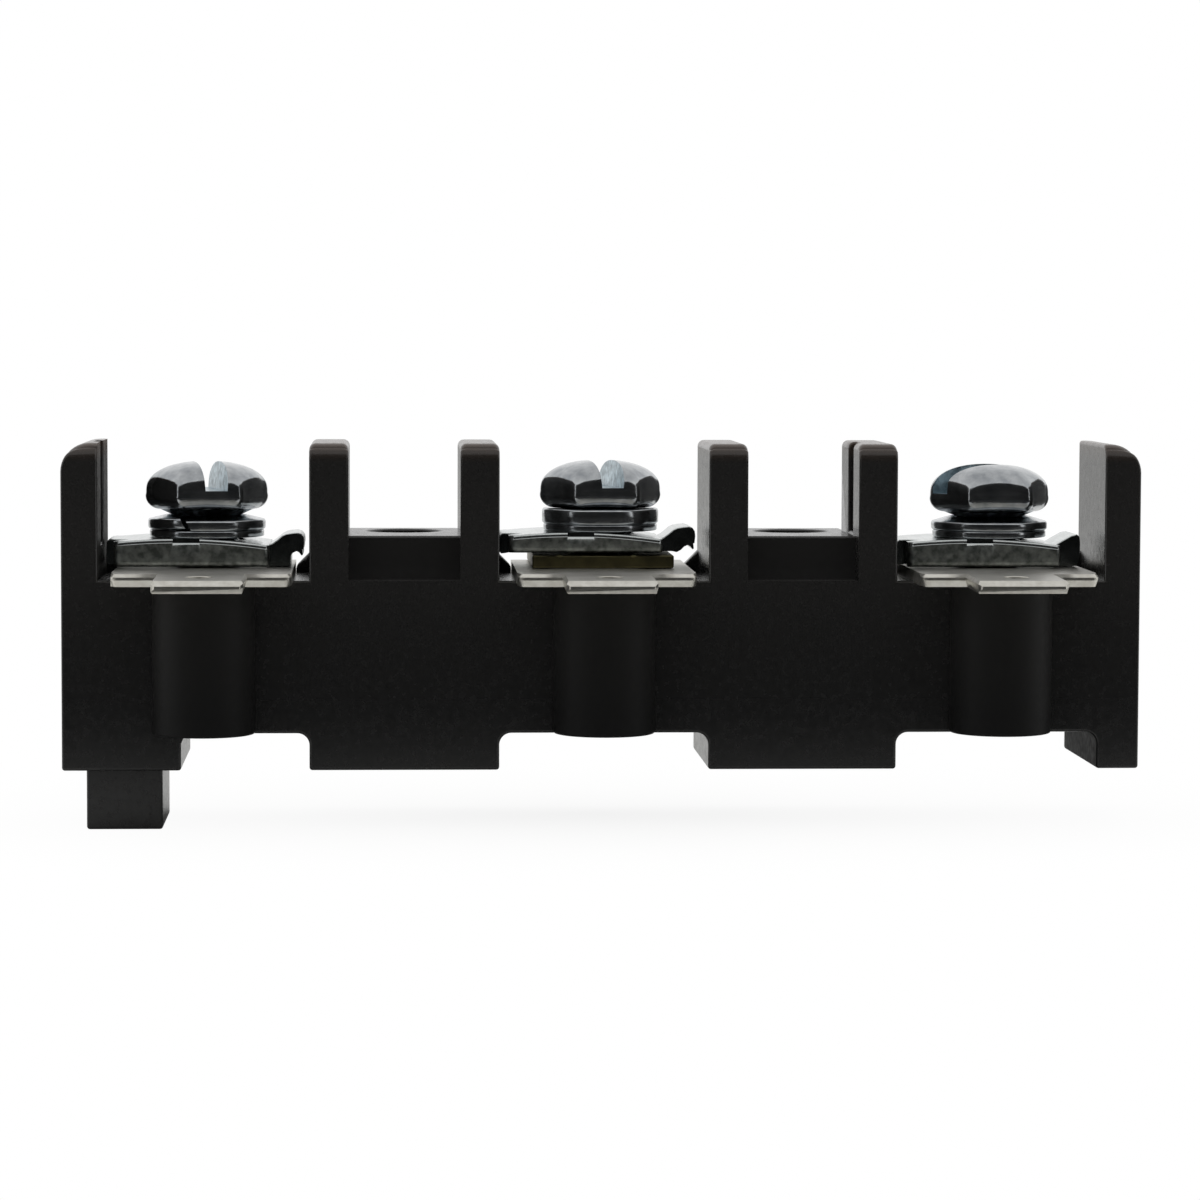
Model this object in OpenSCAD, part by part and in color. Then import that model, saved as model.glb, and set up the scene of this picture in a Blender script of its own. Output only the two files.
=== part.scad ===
// Three-pole terminal block for a clothes dryer's supply cord.
// The front of the block looks along -Y. The origin lies midway between the two mounting holes,
// on the plane of the feet. "Setback" is a distance behind the block's front face.

/* [Block] */
// Distance from one terminal to the next
pole_pitch = 28; // [26:0.5:32]
// Clear width between the walls of a terminal pocket
pocket_w = 14.7; // [14.2:0.1:16]
// Thickness of the barriers
wall_t = 2.75; // [2:0.05:3]
// Thickness of the two end walls
end_wall_t = 2.55; // [2.5:0.05:3]
// Front to back depth of the walls
wall_depth = 11; // [9:0.1:12]
// Front to back depth of the base
base_depth = 13.5; // [12.8:0.1:16]
// Height of the terminal seats above the feet
seat_h = 13.3; // [12.5:0.1:16]
// Rise of the walls above the terminal seats
wall_rise = 9.6; // [8:0.1:12]
// Radius of the outer top corners of the end walls
end_corner_r = 2; // [1:0.1:2.5]
// Rise of the mounting webs above the terminal seats
web_rise = 3.05; // [2:0.05:5]
// Setback of the front of the mounting webs
web_setback = 2.1; // [1:0.1:4]
// Radius of the half-round boss in front of each pole
boss_r = 3.6; // [3:0.1:4]
// Height of the sloped corners at the back of each pocket
gusset_rise = 1.6; // [1.2:0.1:2]
// Front to back thickness of those corners
gusset_t = 1.2; // [0.8:0.1:3]
// Width of the card groove in the left wall and the fourth barrier
groove_w = 3; // [1:0.1:3.5]
// Depth of that groove into the wall
groove_depth = 0.5; // [0.2:0.1:1]
// Setback of the front edge of that groove
groove_setback = 3.7; // [2:0.1:5]

/* [Feet] */
// Height of the arches between the feet
arch_h = 2.6; // [1.5:0.1:3.5]
// Radius of the arches' top corners
arch_r = 0.85; // [0.4:0.05:1.3]
// Width of the left foot
left_foot_w = 8.3; // [7.6:0.1:10]
// Width of the right foot
right_foot_w = 3; // [2.6:0.1:6]
// Width of the locating peg
peg_w = 5.3; // [4:0.1:6]
// Front to back depth of the locating peg
peg_depth = 9; // [6:0.1:11]
// Length of the locating peg below the feet
peg_drop = 4.15; // [3:0.05:6]
// Distance from the left end of the block to the locating peg
peg_inset = 1.7; // [1:0.1:2.2]
// Setback of the front of the locating peg
peg_setback = 0.3; // [0:0.1:1]

/* [Mounting holes] */
// Diameter of the two mounting holes
mount_hole_d = 5.3; // [4.2:0.1:5.6]
// Setback of the mounting holes
mount_setback = 9.4; // [8:0.1:9.8]

/* [Terminal plates] */
// Width of a terminal plate
plate_w = 12.4; // [11.5:0.1:12.8]
// Thickness of a terminal plate and its tab
plate_t = 0.8; // [0.6:0.05:1.2]
// How far a terminal plate stands out in front of the block
plate_reach = 4.3; // [4:0.1:6]
// Setback of the back edge of a terminal plate
plate_end_setback = 12; // [10:0.1:12.5]
// Width of the quick-connect tab
tab_w = 6.35; // [4.8:0.05:9.5]
// Length of the quick-connect tab in front of its plate
tab_len = 5.9; // [5:0.1:9]
// Diameter of the catch hole in the tab
tab_hole_d = 1.8; // [1:0.1:2.2]
// Distance from the tab's tip to its catch hole
tab_hole_inset = 3.4; // [2:0.1:4]

/* [Screws] */
// Outside diameter of the screw thread
screw_d = 4.83; // [4.1:0.01:5]
// Length of the screw under its head
screw_len = 9.5; // [8.5:0.1:10.5]
// Setback of the screw axes
screw_setback = 6; // [5.5:0.1:6.5]
// Width of the hex head across its flats
head_af = 7.7; // [7:0.05:8.2]
// Height of the hex head at its middle
head_h = 3.4; // [3:0.1:4.5]
// Trim of the head's six corners by its turned outline
head_trim = 0.08; // [0.03:0.01:0.3]
// Height of the head's sides, between the sloped underside and the dome
head_side_h = 1.25; // [0.8:0.05:1.6]
// Height of the sloped underside of the head
head_under_h = 0.65; // [0.3:0.05:0.8]
// Width of the driver slot
slot_w = 1.6; // [1:0.1:2]
// Depth of the driver slot at its middle
slot_depth = 2.1; // [1.4:0.1:2.5]
// Width of the captive nut across its flats
nut_af = 9.5; // [8:0.1:10]
// Thickness of the captive nut
nut_t = 3.2; // [2.4:0.1:4]

/* [Clamps and washers] */
// Thickness of the clamp at the ends of its lip
clamp_t = 1.1; // [0.8:0.05:1.6]
// Front to back depth of the clamp
clamp_depth = 8.8; // [8:0.1:9.4]
// Rise of the clamp's crown between the ends of its lip
clamp_crown = 0.45; // [0.2:0.05:0.8]
// Reach of the clamp's front lip to the left of the screw axis
lip_left = 6.35; // [5.5:0.05:6.6]
// Reach of the clamp's front lip to the right of the screw axis
lip_right = 4.5; // [4.2:0.1:5]
// Drop of the clamp's leg below the ends of the lip
leg_drop = 0.45; // [0.2:0.05:0.6]
// Width of that leg, which stands beside the neutral link
leg_w = 0.65; // [0.4:0.05:0.7]
// Front to back depth of the clamp's ears
ear_depth = 5; // [4:0.1:7]
// Rise of the right ear above the ends of the lip
ear_rise = 0.75; // [0.3:0.05:1.2]
// Width of the notch in the lip's top edge
notch_w = 1.85; // [1:0.05:2]
// Depth of that notch, down and back from the edge
notch_depth = 0.3; // [0.15:0.05:0.5]
// Distance of that notch to the left of the screw axis
notch_offset = 1.3; // [0.5:0.1:2]
// Outside diameter of the flat washer
flat_washer_d = 8.1; // [7:0.1:9]
// Thickness of the flat washer
flat_washer_t = 0.5; // [0.3:0.05:0.8]
// Outside diameter of the split lock washer
lock_washer_d = 8.3; // [7:0.1:9]
// Thickness of the split lock washer
lock_washer_t = 0.95; // [0.5:0.05:1.2]
// Width of the lock washer's split
split_w = 0.45; // [0.2:0.05:1]

/* [Neutral link] */
// Width of the brass link under the centre clamp
link_w = 10; // [8:0.1:12]
// Thickness of the brass link
link_t = 0.9; // [0.5:0.05:1.2]
// Setback of the front edge of the brass link
link_setback = 1.7; // [1:0.1:2.5]

/* [Clearances] */
// Gap between the clamp's ears and the pocket walls
ear_clear = 0.38; // [0.3:0.01:0.6]
// Gap on each side of a plate between the sloped corners
plate_clear = 0.05; // [0.02:0.01:0.2]
// Gap between a nut and the walls of its pocket
nut_clear = 0.08; // [0.02:0.01:0.2]
// Gap between the screw and the nut's bore, on the radius
thread_clear = 0.05; // [0.02:0.01:0.09]
// Gap around the screw in the plates, washers and clamp, on the radius
screw_clear = 0.35; // [0.3:0.01:0.5]
// Gap between the clamp's leg and the neutral link
leg_clear = 0.3; // [0.2:0.01:0.4]
// Gap between the clamp and what it rests on
rest_gap = 0.05; // [0.02:0.01:0.1]
// Smallest gap between a screw's head and its lock washer
head_gap = 0.15; // [0.05:0.01:0.3]
// Space below the tip of a screw in the block
tip_clear = 1; // [0.5:0.1:2]

/* [Hidden] */

// Overlap of fused shapes, and overrun of cuts
eps = 0.2;
$fn = 64;

// Poles from left to right: the centre one holds the neutral link
POLES = ["left", "centre", "right"];
CENTRE = 1;

// The screws were driven by hand: their heads stop at a turn and a height of their own
SLOT_TURN = [14.5, 13.4, -71];
HEAD_TURN = [5, 4, 3.7];
HEAD_DROP = [0.13, 0, 0.25];
SPLIT_TURN = [250, 118, 75];

// Places across the block
half_pocket = pocket_w / 2;
block_w = 2 * pole_pitch + pocket_w + 2 * end_wall_t;
bay_w = pole_pitch - pocket_w - 2 * wall_t;
foot_w = bay_w + 2 * wall_t;
mount_x = pole_pitch / 2;
function pole_x(pole) = (pole - CENTRE) * pole_pitch;

// Places from front to back
face_y = -mount_setback;
screw_y = face_y + screw_setback;
clamp_y = screw_y - clamp_depth / 2;

// Heights
wall_top = seat_h + wall_rise;
web_top = seat_h + web_rise;
plate_top = seat_h + plate_t;
link_lift = link_t - leg_drop;
function lip_z(pole) = plate_top + rest_gap + leg_drop + (pole == CENTRE ? link_lift : 0);
function crown_z(pole) = lip_z(pole) + clamp_crown + clamp_t;
function lock_z(pole) = crown_z(pole) + flat_washer_t;
top_head_z = lock_z(CENTRE) + lock_washer_t + head_gap;
function head_z(pole) = top_head_z - HEAD_DROP[pole];
function tip_z(pole) = head_z(pole) - screw_len;
nut_z = seat_h - nut_t - nut_clear;

// Sizes that follow from fits
gusset_w = (pocket_w - plate_w) / 2 - plate_clear;
screw_hole_r = screw_d / 2 + screw_clear;
nut_bore_r = screw_d / 2 + thread_clear;
ear_x = half_pocket - ear_clear;

module at_pole(pole) {
    translate([pole_x(pole), 0, 0])
        children();
}

module at_screw(pole) {
    translate([pole_x(pole), screw_y, 0])
        children();
}

// A plan or elevation turned up to stand on the XZ plane, run back from y by a depth
module run_back(y, depth) {
    translate([0, y + depth, 0])
        rotate([90, 0, 0])
            linear_extrude(depth)
                children();
}

module hexagon(af) {
    circle(d = af / cos(30), $fn = 6);
}

// Front view of an end wall, with its outer top corner at the left
module end_wall_face() {
    difference() {
        square([end_wall_t, wall_top]);
        translate([-eps, wall_top - end_corner_r])
            square([end_corner_r + eps, end_corner_r + eps]);
    }
    intersection() {
        translate([end_corner_r, wall_top - end_corner_r])
            circle(end_corner_r);
        square([end_wall_t, wall_top]);
    }
}

// Front view of an arch between two feet, open downwards, with rounded top corners
module arch_face(x0, x1) {
    translate([x0, -eps])
        square([x1 - x0, arch_h - arch_r + eps]);
    translate([x0 + arch_r, -eps])
        square([x1 - x0 - 2 * arch_r, arch_h + eps]);
    for (x = [x0 + arch_r, x1 - arch_r])
        translate([x, arch_h - arch_r])
            circle(arch_r);
}

// Base with its feet and arches
module base() {
    run_back(face_y, base_depth)
        difference() {
            translate([-block_w / 2, 0])
                square([block_w, seat_h]);
            arch_face(-block_w / 2 + left_foot_w, -mount_x - foot_w / 2);
            arch_face(-mount_x + foot_w / 2, mount_x - foot_w / 2);
            arch_face(mount_x + foot_w / 2, block_w / 2 - right_foot_w);
        }
    for (pole = [0 : 2])
        at_pole(pole)
            translate([0, face_y, arch_h])
                cylinder(r = boss_r, h = seat_h - arch_h);
}

// End walls, and the barriers on both sides of each mounting bay
module walls() {
    run_back(face_y, wall_depth)
        for (side = [0, 1])
            mirror([side, 0])
                translate([-block_w / 2, 0])
                    end_wall_face();
    for (bay = [-mount_x, mount_x])
        for (side = [-1, 1])
            translate([bay + side * (bay_w + wall_t) / 2 - wall_t / 2, face_y, arch_h])
                cube([wall_t, wall_depth, wall_top - arch_h]);
}

module webs() {
    for (bay = [-mount_x, mount_x])
        translate([bay - bay_w / 2 - eps, face_y + web_setback, arch_h])
            cube([bay_w + 2 * eps, base_depth - web_setback, web_top - arch_h]);
}

// Sloped corners that keep each terminal plate in the middle of its pocket, flush with the walls' backs
module gussets() {
    foot_z = gusset_rise - gusset_w;
    run_back(face_y + wall_depth - gusset_t, gusset_t)
        for (pole = [0 : 2])
            for (side = [0, 1])
                translate([pole_x(pole), seat_h])
                    mirror([side, 0])
                        polygon([
                            [half_pocket + eps, -eps],
                            [half_pocket - gusset_w, -eps],
                            [half_pocket - gusset_w, foot_z],
                            [half_pocket, gusset_rise],
                            [half_pocket + eps, gusset_rise]
                        ]);
}

module peg() {
    translate([-block_w / 2 + peg_inset, face_y + peg_setback, -peg_drop])
        cube([peg_w, peg_depth, peg_drop + eps]);
}

module nut_pockets() {
    for (pole = [0 : 2])
        at_screw(pole) {
            translate([0, 0, nut_z])
                linear_extrude(nut_t + nut_clear + eps)
                    hexagon(nut_af + 2 * nut_clear);
            translate([0, 0, tip_z(pole) - tip_clear])
                cylinder(r = screw_hole_r, h = nut_z - tip_z(pole) + tip_clear + eps);
        }
}

module mount_holes() {
    for (x = [-mount_x, mount_x])
        translate([x, 0, -eps])
            cylinder(d = mount_hole_d, h = web_top + 2 * eps);
}

// Grooves for a marking card, in the left wall and in the bay side of the fourth barrier
module card_grooves() {
    left_wall_x = -block_w / 2 + end_wall_t - groove_depth;
    translate([left_wall_x, face_y + groove_setback, plate_top + gusset_rise])
        cube([groove_depth + eps, groove_w, wall_rise]);
    translate([mount_x + bay_w / 2 - eps, face_y + groove_setback, web_top + eps])
        cube([groove_depth + eps, groove_w, wall_rise]);
}

module block_body() {
    color("#1b1a1a")
        difference() {
            union() {
                base();
                walls();
                webs();
                gussets();
                peg();
            }
            nut_pockets();
            mount_holes();
            card_grooves();
        }
}

// Tinned plate with a quick-connect tab that points forwards
module terminal_plate(pole) {
    plate_y = face_y - plate_reach;
    color("#c9c8c4")
        at_pole(pole)
            difference() {
                union() {
                    translate([-plate_w / 2, plate_y, seat_h])
                        cube([plate_w, plate_reach + plate_end_setback, plate_t]);
                    translate([-tab_w / 2, plate_y - tab_len, seat_h])
                        cube([tab_w, tab_len + eps, plate_t]);
                }
                translate([0, screw_y, seat_h - eps])
                    cylinder(r = screw_hole_r, h = plate_t + 2 * eps);
                translate([0, plate_y - tab_len + tab_hole_inset, seat_h - eps])
                    cylinder(d = tab_hole_d, h = plate_t + 2 * eps);
            }
}

module nut(pole) {
    color("#8f959a")
        at_screw(pole)
            translate([0, 0, nut_z])
                difference() {
                    linear_extrude(nut_t)
                        hexagon(nut_af);
                    translate([0, 0, -eps])
                        cylinder(r = nut_bore_r, h = nut_t + 2 * eps);
                }
}

// Brass strip that lies on the centre plate, under the clamp
module neutral_link() {
    color("#8c7a3a")
        difference() {
            translate([-link_w / 2, face_y + link_setback, plate_top])
                cube([link_w, plate_end_setback - link_setback, link_t]);
            translate([0, screw_y, plate_top - eps])
                cylinder(r = screw_hole_r, h = link_t + 2 * eps);
        }
}

// Front view of the crowned lip, with its straight underside on the X axis
module lip_face() {
    half_lip = (lip_left + lip_right) / 2;
    crown_r = (half_lip * half_lip + clamp_crown * clamp_crown) / (2 * clamp_crown);
    intersection() {
        translate([(lip_right - lip_left) / 2, clamp_t + clamp_crown - crown_r])
            circle(crown_r, $fn = 360);
        translate([-lip_left, 0])
            square([lip_left + lip_right, clamp_crown + clamp_t]);
    }
}

// Front view of the ears: a plain one at the left, and a raised one with a leg at the right
module ear_faces() {
    leg_x = link_w / 2 + leg_clear;
    foot_x = leg_x + leg_w;
    root_x = lip_right - clamp_t / 2;
    shoulder_x = lip_right + ear_rise;
    hook_z = leg_drop;
    top_z = clamp_t + ear_rise;
    round_r = ear_rise / 2;
    translate([-ear_x, 0])
        square([ear_x - lip_left + clamp_t, clamp_t]);
    polygon([
        [root_x, 0],
        [leg_x, 0],
        [leg_x, -leg_drop],
        [foot_x, -leg_drop],
        [foot_x, hook_z],
        [ear_x, hook_z],
        [ear_x, top_z - round_r],
        [ear_x - round_r, top_z],
        [shoulder_x, top_z],
        [lip_right, clamp_t],
        [root_x, clamp_t]
    ]);
    translate([ear_x - round_r, top_z - round_r])
        circle(round_r);
}

// Stamped wire clamp, crowned in front, which hangs on the screw
module clamp(pole) {
    notch_x = -notch_offset - notch_w / 2;
    color("#4a4c4c")
        translate([pole_x(pole), 0, lip_z(pole)])
            difference() {
                union() {
                    run_back(clamp_y, clamp_depth)
                        lip_face();
                    run_back(screw_y - ear_depth / 2, ear_depth)
                        ear_faces();
                }
                translate([0, screw_y, -leg_drop - eps])
                    cylinder(r = screw_hole_r, h = leg_drop + clamp_crown + clamp_t + 2 * eps);
                translate([notch_x, clamp_y - eps, clamp_crown + clamp_t - notch_depth])
                    cube([notch_w, notch_depth + eps, notch_depth + eps]);
            }
}

module flat_washer(pole) {
    color("#55606a")
        at_screw(pole)
            translate([0, 0, crown_z(pole)])
                difference() {
                    cylinder(d = flat_washer_d, h = flat_washer_t);
                    translate([0, 0, -eps])
                        cylinder(r = screw_hole_r, h = flat_washer_t + 2 * eps);
                }
}

// Spring washer, split by a cut that leans as its coil does
module lock_washer(pole) {
    split_lean = 30;
    color("#46525c")
        at_screw(pole)
            translate([0, 0, lock_z(pole)])
                difference() {
                    cylinder(d = lock_washer_d, h = lock_washer_t);
                    translate([0, 0, -eps])
                        cylinder(r = screw_hole_r, h = lock_washer_t + 2 * eps);
                    rotate([0, 0, SPLIT_TURN[pole]])
                        translate([0, 0, lock_washer_t / 2])
                            rotate([split_lean, 0, 0])
                                translate([0, -split_w / 2, -lock_washer_t])
                                    cube([lock_washer_d, split_w, 2 * lock_washer_t]);
                }
}

// Half section of the head: sloped underside, short side and low dome
module head_section() {
    turned_r = head_af / 2 / cos(30) - head_trim;
    under_r = turned_r - head_under_h;
    dome_z = head_under_h + head_side_h;
    dome_h = head_h - dome_z;
    dome_r = (turned_r * turned_r + dome_h * dome_h) / (2 * dome_h);
    polygon([
        [0, 0],
        [under_r, 0],
        [turned_r, head_under_h],
        [turned_r, dome_z],
        [0, dome_z]
    ]);
    intersection() {
        translate([0, head_h - dome_r])
            circle(dome_r, $fn = 180);
        translate([0, dome_z - eps])
            square([turned_r, dome_h + eps]);
    }
}

// Hex-head screw with a driver slot
module screw(pole) {
    color("#71858f")
        at_screw(pole) {
            translate([0, 0, head_z(pole)])
                difference() {
                    intersection() {
                        rotate([0, 0, HEAD_TURN[pole]])
                            linear_extrude(head_h)
                                hexagon(head_af);
                        rotate_extrude($fn = 96)
                            head_section();
                    }
                    rotate([0, 0, SLOT_TURN[pole]])
                        translate([-slot_w / 2, -head_af, head_h - slot_depth])
                            cube([slot_w, 2 * head_af, slot_depth + eps]);
                }
            translate([0, 0, tip_z(pole)])
                cylinder(d = screw_d, h = screw_len + eps);
        }
}

block_body();
neutral_link();
for (pole = [0 : 2]) {
    terminal_plate(pole);
    nut(pole);
    clamp(pole);
    flat_washer(pole);
    lock_washer(pole);
    screw(pole);
}
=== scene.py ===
"""Looks of a three-pole terminal block for a clothes dryer's supply cord.

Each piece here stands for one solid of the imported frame, with the edges, threads and coils that
the real piece has. Sizes are in millimetres and are turned to metres where a mesh is made.
"""

import math

import bmesh
import bpy
from mathutils import Matrix, Vector


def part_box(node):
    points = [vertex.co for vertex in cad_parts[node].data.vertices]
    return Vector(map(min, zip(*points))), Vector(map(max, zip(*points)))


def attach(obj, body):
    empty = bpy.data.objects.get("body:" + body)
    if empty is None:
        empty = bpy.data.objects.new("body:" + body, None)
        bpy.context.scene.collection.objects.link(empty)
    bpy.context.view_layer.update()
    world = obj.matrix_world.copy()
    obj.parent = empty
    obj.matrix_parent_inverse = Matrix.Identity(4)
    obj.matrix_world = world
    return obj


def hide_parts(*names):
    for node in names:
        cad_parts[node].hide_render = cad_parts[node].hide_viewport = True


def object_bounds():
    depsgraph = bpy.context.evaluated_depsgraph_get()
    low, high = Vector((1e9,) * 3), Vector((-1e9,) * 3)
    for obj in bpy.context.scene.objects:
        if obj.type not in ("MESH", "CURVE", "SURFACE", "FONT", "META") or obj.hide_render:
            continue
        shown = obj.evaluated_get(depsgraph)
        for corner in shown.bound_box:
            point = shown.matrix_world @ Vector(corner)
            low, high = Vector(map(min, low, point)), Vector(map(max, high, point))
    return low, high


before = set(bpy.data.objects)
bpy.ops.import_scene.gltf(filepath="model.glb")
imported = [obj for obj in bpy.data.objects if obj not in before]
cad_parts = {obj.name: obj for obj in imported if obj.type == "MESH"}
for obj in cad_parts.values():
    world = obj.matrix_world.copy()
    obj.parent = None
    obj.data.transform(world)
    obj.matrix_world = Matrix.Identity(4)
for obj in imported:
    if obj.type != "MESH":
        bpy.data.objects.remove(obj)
cad_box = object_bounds()

MM = 0.001
POLES = ("left", "centre", "right")
# Points closer than this are one point
WELD = 0.0005
# Height of the finest relief that a bump shows
RELIEF = 0.02

# The camera stood low in front of the block and a little to its left
IMAGE_PX = 1200
FOCAL_PX = 3988
SENSOR_W = 36
CAMERA_AT = (-15.48, -287.94, 30.93)
CAMERA_YAW = 3.117
CAMERA_PITCH = -3.890
CAMERA_ROLL = 0.195

# The light tent: a white room lit from above, and the dark room behind the camera
TENT_LEVEL = 0.62
ROOF_LEVEL = 0.7
# How high in the tent its roof begins and where it is darkest, from level at 0 to overhead at 1
ROOF_FROM, ROOF_TO = 0.15, 0.9
TOP_LIGHT_AT = (-60, 160, 420)
TOP_LIGHT_W = 420
TOP_LIGHT_WATTS = 0.8
FLOOR_W = 4000
FLOOR_LIFT = 0.86
SHADOW_REACH = (75, 40)
DARK_ROOM_Y = -700
DARK_ROOM_W = 2400
DARK_ROOM_H = 520
DARK_FLOOR_Y = -44
DARK_FLOOR_LIFT = 0.2

# The moulded block
BLOCK_FACE_Y = -9.4
SEAT_Z = 13.3
BARRIER_TOP_Z = 22.9
END_WALL_X = 35.35
WEB_X = 14
WEB_FACE_Y = -7.3
GROOVE_Y = -4.2
# The end walls and end feet lie beyond this on either side
END_X = 30
# Painted shade: the dull copy of the phenolic is put low in the bays, up to this height over the
# seat, and low on the right foot
BAY_SHADE_H = 2.5
FOOT_SHADE_Z = 3.6
BLOCK_EDGE_R = 0.2
CREST_R = 0.45
BROW_R = 1.1
# Where the left boss meets its foot, in X, Y and Z
BOSS_JOIN = ((-33.6, -28.3), (-10.6, -9), (2, 3))

# Terminal plates, and the strap on the centre one
PLATE_FRONT_Y = -13.7
PLATE_DROOP = 0.0186
PLATE_DRAW = 0.08
PLATE_CORNER_R = 0.55
PLATE_TOP_CUT = 0.2
PLATE_UNDER_CUT = 0.17
# The cut below reaches this much further up the edge than it does inward
PLATE_UNDER_RISE = 0.25
TAB_TIP_CUT = 0.32
# The holes' rims are short edges near the plate's middle
RIM_CUT = 0.04
RIM_EDGE_LEN = 0.5
RIM_REACH = 3.1
LINK_EDGE_R = 0.12
LINK_PIP_X = (-3.1, 2.15)
LINK_PIP_SIZE = (0.24, 0.12, 0.1)
LINK_PIP_DROP = 0.08

# Screws: number 10 machine screws, 32 threads to the inch
SCREW_D = 4.83
SCREW_LEN = 9.5
THREAD_PITCH = 0.794
THREAD_DEPTH = 0.42
SCREW_TIP_CUT = 0.4
HEAD_AF = 7.7
HEAD_CORNER_R = 0.68
HEAD_H = 3.4
HEAD_FLAT_R = 3.3
HEAD_UNDER_H = 0.95
HEAD_SIDE_H = 1.2
HEAD_DOME = 2.3
# How far the dome follows the hexagon rather than a circle
HEAD_HEX_SHARE = 0.8
HEAD_BLEND = 0.16
# The underside runs down to the washer in a shallow cone
HEAD_CONE = {"left": 0.4, "centre": 0.02, "right": 0.33}
# Columns of points in a sixth of the head, in degrees from a corner
HEX_COLUMNS = (0, 1.2, 2.4, 3.6, 4.8, 7, 12, 20, 30, 40, 48, 53, 55.2, 56.4, 57.6, 58.8)
SLOT_W = 1.52
# Each wall of the slot leans out by this much from its floor to the top of the head
SLOT_LEAN = 0.16
SLOT_DEPTH = {"left": 2.0, "centre": 1.88, "right": 2.1}
HEAD_TURN = {"left": 5, "centre": 4, "right": 3.7}
SLOT_TURN = {"left": 12.5, "centre": 10.5, "right": -71}

# Flat washers, and spring washers sprung open at their upper ends by what room the heads leave
FLAT_WASHER_EDGE_R = 0.1
WASHER_BORE_R = 2.765
LOCK_WASHER_R = 4.15
LOCK_WASHER_OUTER_H = {"left": 0.74, "centre": 1.08, "right": 0.64}
LOCK_WASHER_INNER_H = {"left": 1, "centre": 1.08, "right": 0.96}
LOCK_WASHER_RISE = {"left": 0.15, "centre": 0, "right": 0.06}
LOCK_WASHER_EDGE_R = 0.16
SPLIT_W = 0.45
SPLIT_LEAN = 30
SPLIT_TURN = {"left": 250, "centre": 118, "right": 75}

# Wire clamps, from the screw's axis and from the underside of the saddle
CLAMP_SHIFT = {"left": 0, "centre": -0.3, "right": 0}
LIP_X = (-6.35, 4.5)
LIP_Y = (-4.4, 4.4)
LIP_CORNER_R = (0.4, 0.3)
LIP_FOOT = {"left": -0.43, "centre": 0.12, "right": -0.43}
LIP_T = 1.15
# The lip's foot, inward from its face and up from its lowest line
LIP_FOOT_ROUND = ((0.42, 0), (0.21, 0.06), (0.06, 0.21), (0, 0.42))
# The lip's top, inward from its face and down from the crown
LIP_TOP_ROUND = ((0, 0.3), (0.03, 0.27), (0.03, 0.15), (0.06, 0.05), (0.14, 0))
# The saddle's back edge, inward from its face and down from the crown
BACK_ROUND = ((0.12, 0), (0.035, 0.035), (0, 0.12))
# The saddle's lower edges, cut off by this much inward and, at the back, up
BACK_CUT = (0.1, 0.25)
CROWN_Z = 1.55
CROWN_X = -1.9
CROWN_FALL = 0.0115
LEG_DROP = 0.45
EAR_Y = (-2.5, 2.5)
EAR_EDGE_R = 0.09
# The ears' edges are rounded above this height only
EAR_ROUND_Z = 0.85
NOTCH_X = (-2.22, -0.34)
NOTCH_DEPTH = 0.3
# The front of the notch's floor slopes: its run and its fall
NOTCH_FALL = (0.12, 0.17)
NOTCH_BACK = 0.5
# Outlines of the ears, seen from the front
PLAIN_EAR = ((-4.6, 1.4), (-6.5, 1.44), (-6.8, 1.4), (-6.94, 1.24), (-6.97, 0.9))
LOW_EAR = ((-4.6, 0),) + PLAIN_EAR + ((-6.97, -0.2), (-6.85, -0.34), (-6.2, -0.3), (-5.8, 0))
LEFT_EAR = {
    "left": LOW_EAR,
    "centre": ((-5.4, 0.25), (-4.6, 0.3)) + PLAIN_EAR + (
        (-6.97, 0.12), (-6.85, -0.02), (-6.6, 0), (-6.1, 0.1),
    ),
    "right": LOW_EAR,
}
HOOKED_EAR = (
    (5.97, -0.45), (6.01, 0.31), (6.15, 0.47), (6.4, 0.59), (6.58, 0.5), (6.75, 0.28),
    (6.84, 0.33), (6.89, 0.7), (6.95, 1.23), (6.91, 1.56), (6.75, 1.8), (6.44, 1.9),
    (6.08, 1.87), (5.66, 1.8), (5.38, 1.67), (5.03, 1.37), (4.68, 1.12), (4.3, 1), (3.6, 1),
)
RIGHT_EAR = {
    "left": ((3.6, 0), (4.3, 0), (4.3, -0.45)) + HOOKED_EAR,
    "centre": ((3.6, 0.15), (5.3, 0.15), (5.62, 0.08), (5.92, 0.24)) + HOOKED_EAR[2:],
    "right": (
        (3.6, 0), (4.3, 0), (4.3, -0.45), (5.97, -0.45), (6.16, 0.3), (6.2, 1.2), (6.16, 1.62),
        (5.98, 1.8), (5.57, 1.72), (5, 1.4), (4.57, 1.14), (4.2, 1), (3.6, 1),
    ),
}


def linear(hex_colour):
    """An sRGB hex colour as linear RGBA."""
    channels = [int(hex_colour[i:i + 2], 16) / 255 for i in (1, 3, 5)]
    return [c / 12.92 if c <= 0.04045 else ((c + 0.055) / 1.055) ** 2.4 for c in channels] + [1]


def add(tree, kind, inputs=None, **settings):
    """Adds a node. Settings are its properties. Inputs are sockets by name or number, each with
    a value to set or another node's output to link."""
    node = tree.nodes.new("ShaderNode" + kind)
    for name, value in settings.items():
        setattr(node, name, value)
    for socket, value in (inputs or {}).items():
        if isinstance(value, bpy.types.NodeSocket):
            tree.links.new(value, node.inputs[socket])
        else:
            node.inputs[socket].default_value = value
    return node


def per_mm(size):
    """The texture scale at which a pattern's features are about this many millimetres wide."""
    return 1 / (size * MM)


def new_material(name):
    """A material with an empty tree and its output node."""
    material = bpy.data.materials.new(name)
    material.use_nodes = True
    tree = material.node_tree
    tree.nodes.clear()
    return material, tree, add(tree, "OutputMaterial")


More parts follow.
